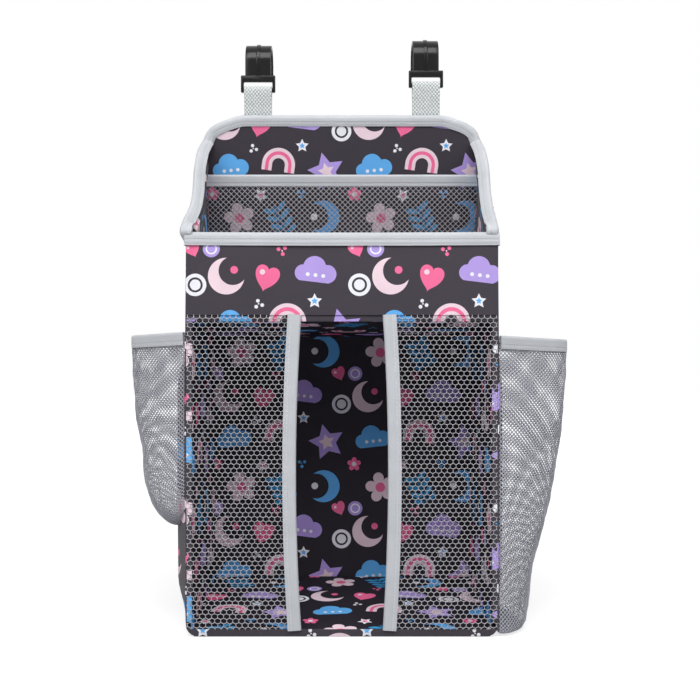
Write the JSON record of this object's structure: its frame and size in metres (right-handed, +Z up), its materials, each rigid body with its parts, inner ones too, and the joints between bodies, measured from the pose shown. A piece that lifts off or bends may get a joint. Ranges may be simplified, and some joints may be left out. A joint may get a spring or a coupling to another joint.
{
  "type": "hanging diaper stacker",
  "caption": "Stiffened fabric organiser with a netted, slit nappy box, an open tray with a net pocket above it, a net pouch on each side and swivelling strap hooks.",
  "frame": {"origin": "centre of the base's underside, midway between the front and the back faces of the box", "axes": "+Z up, -Y out of the slit front, +Y out of the back panel, +X to the right as seen from the front"},
  "size_m": [0.3814, 0.1561, 0.5213],
  "materials": {
    "printed_fabric": null,
    "printed_lining": "same printed polyester, inside faces",
    "stiffener_board": "plain stiffener board, sewn in and hidden",
    "grey_binding": "pale grey folded tape with one row of stitches",
    "grey_net": "grey knitted honeycomb net",
    "grey_webbing": "pale grey coarse woven webbing",
    "black_plastic": "moulded black plastic, glossy"
  },
  "bodies": {
    "caddy": {"back_outer_fabric": "printed_fabric", "back_board_lower": "stiffener_board", "back_board_upper": "stiffener_board", "back_lining": "printed_lining", "top_binding": "grey_binding", "side_outer_fabric_left": "printed_fabric", "side_board_left": "stiffener_board", "side_lining_left": "printed_lining", "tray_side_lining_left": "printed_lining", "wing_binding_left": "grey_binding", "side_outer_fabric_right": "printed_fabric", "side_board_right": "stiffener_board", "side_lining_right": "printed_lining", "tray_side_lining_right": "printed_lining", "wing_binding_right": "grey_binding", "base_outer_fabric": "printed_fabric", "base_board": "stiffener_board", "base_lining": "printed_lining", "base_front_hem": "printed_fabric", "shelf_under_fabric": "printed_lining", "shelf_board": "stiffener_board", "shelf_top_fabric": "printed_lining", "tray_front_fabric": "printed_fabric", "tray_front_board": "stiffener_board", "tray_front_lining": "printed_lining", "tray_front_binding": "grey_binding", "tray_pocket_net": "grey_net", "tray_pocket_binding": "grey_binding", "front_net_left": "grey_net", "slit_binding_left": "grey_binding", "front_net_right": "grey_net", "slit_binding_right": "grey_binding", "side_pocket_net_left": "grey_net", "side_pocket_binding_left": "grey_binding", "side_pocket_net_right": "grey_net", "side_pocket_binding_right": "grey_binding", "strap_tail_left": "grey_webbing", "strap_tail_right": "grey_webbing"},
    "strap_left": {"strap_loop_left": "grey_webbing"},
    "hook_left": {"hook_left": "black_plastic"},
    "strap_right": {"strap_loop_right": "grey_webbing"},
    "hook_right": {"hook_right": "black_plastic"}
  },
  "joints": [
    {"name": "strap_left_turn", "type": "hinge", "parent": "caddy", "child": "strap_left", "pos_m": [-0.077, 0.03931, 0.44901], "axis": [1, 0, 0], "range_deg": [-75, 45]},
    {"name": "hook_left_turn", "type": "hinge", "parent": "strap_left", "child": "hook_left", "pos_m": [-0.077, 0.03931, 0.47001], "axis": [1, 0, 0], "range_deg": [-60, 60]},
    {"name": "strap_right_turn", "type": "hinge", "parent": "caddy", "child": "strap_right", "pos_m": [0.077, 0.03931, 0.44901], "axis": [1, 0, 0], "range_deg": [-75, 45]},
    {"name": "hook_right_turn", "type": "hinge", "parent": "strap_right", "child": "hook_right", "pos_m": [0.077, 0.03931, 0.47451], "axis": [1, 0, 0], "range_deg": [-60, 60]}
  ]
}
